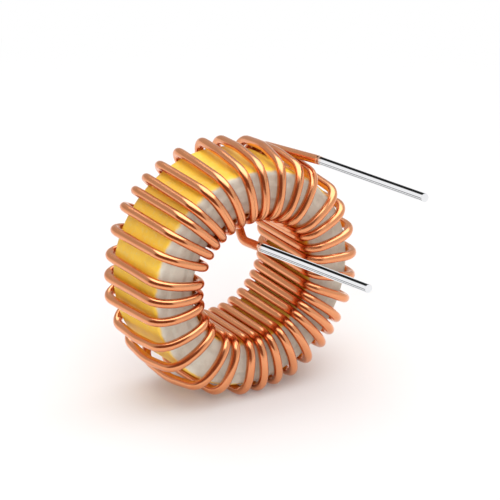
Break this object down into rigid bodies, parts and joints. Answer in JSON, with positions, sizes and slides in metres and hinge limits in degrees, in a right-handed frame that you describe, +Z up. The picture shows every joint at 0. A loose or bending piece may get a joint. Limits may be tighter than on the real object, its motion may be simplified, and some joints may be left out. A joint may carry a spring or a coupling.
{
  "type": "toroidal inductor",
  "caption": "Ring core with a yellow coat and a white front face, wound all round with enamelled copper wire whose tinned leads point forward.",
  "frame": {"origin": "on the floor under the core's centre, where the coil stands on its two lowest turns", "axes": "+Z up, +Y along the core's axis from the white face to the back; the two leads point toward -Y"},
  "size_m": [0.0138, 0.0162, 0.0146],
  "materials": {
    "yellow_coat": "satin epoxy coat on pressed iron powder",
    "white_coat": "matt white paint",
    "enamelled_copper": "copper under clear glossy enamel",
    "tinned_wire": "bright dipped tin"
  },
  "bodies": {
    "root": {"core": "yellow_coat", "face_coat": "white_coat", "winding": "enamelled_copper", "inner_lead_tin": "tinned_wire", "outer_lead_tin": "tinned_wire"}
  },
  "joints": []
}
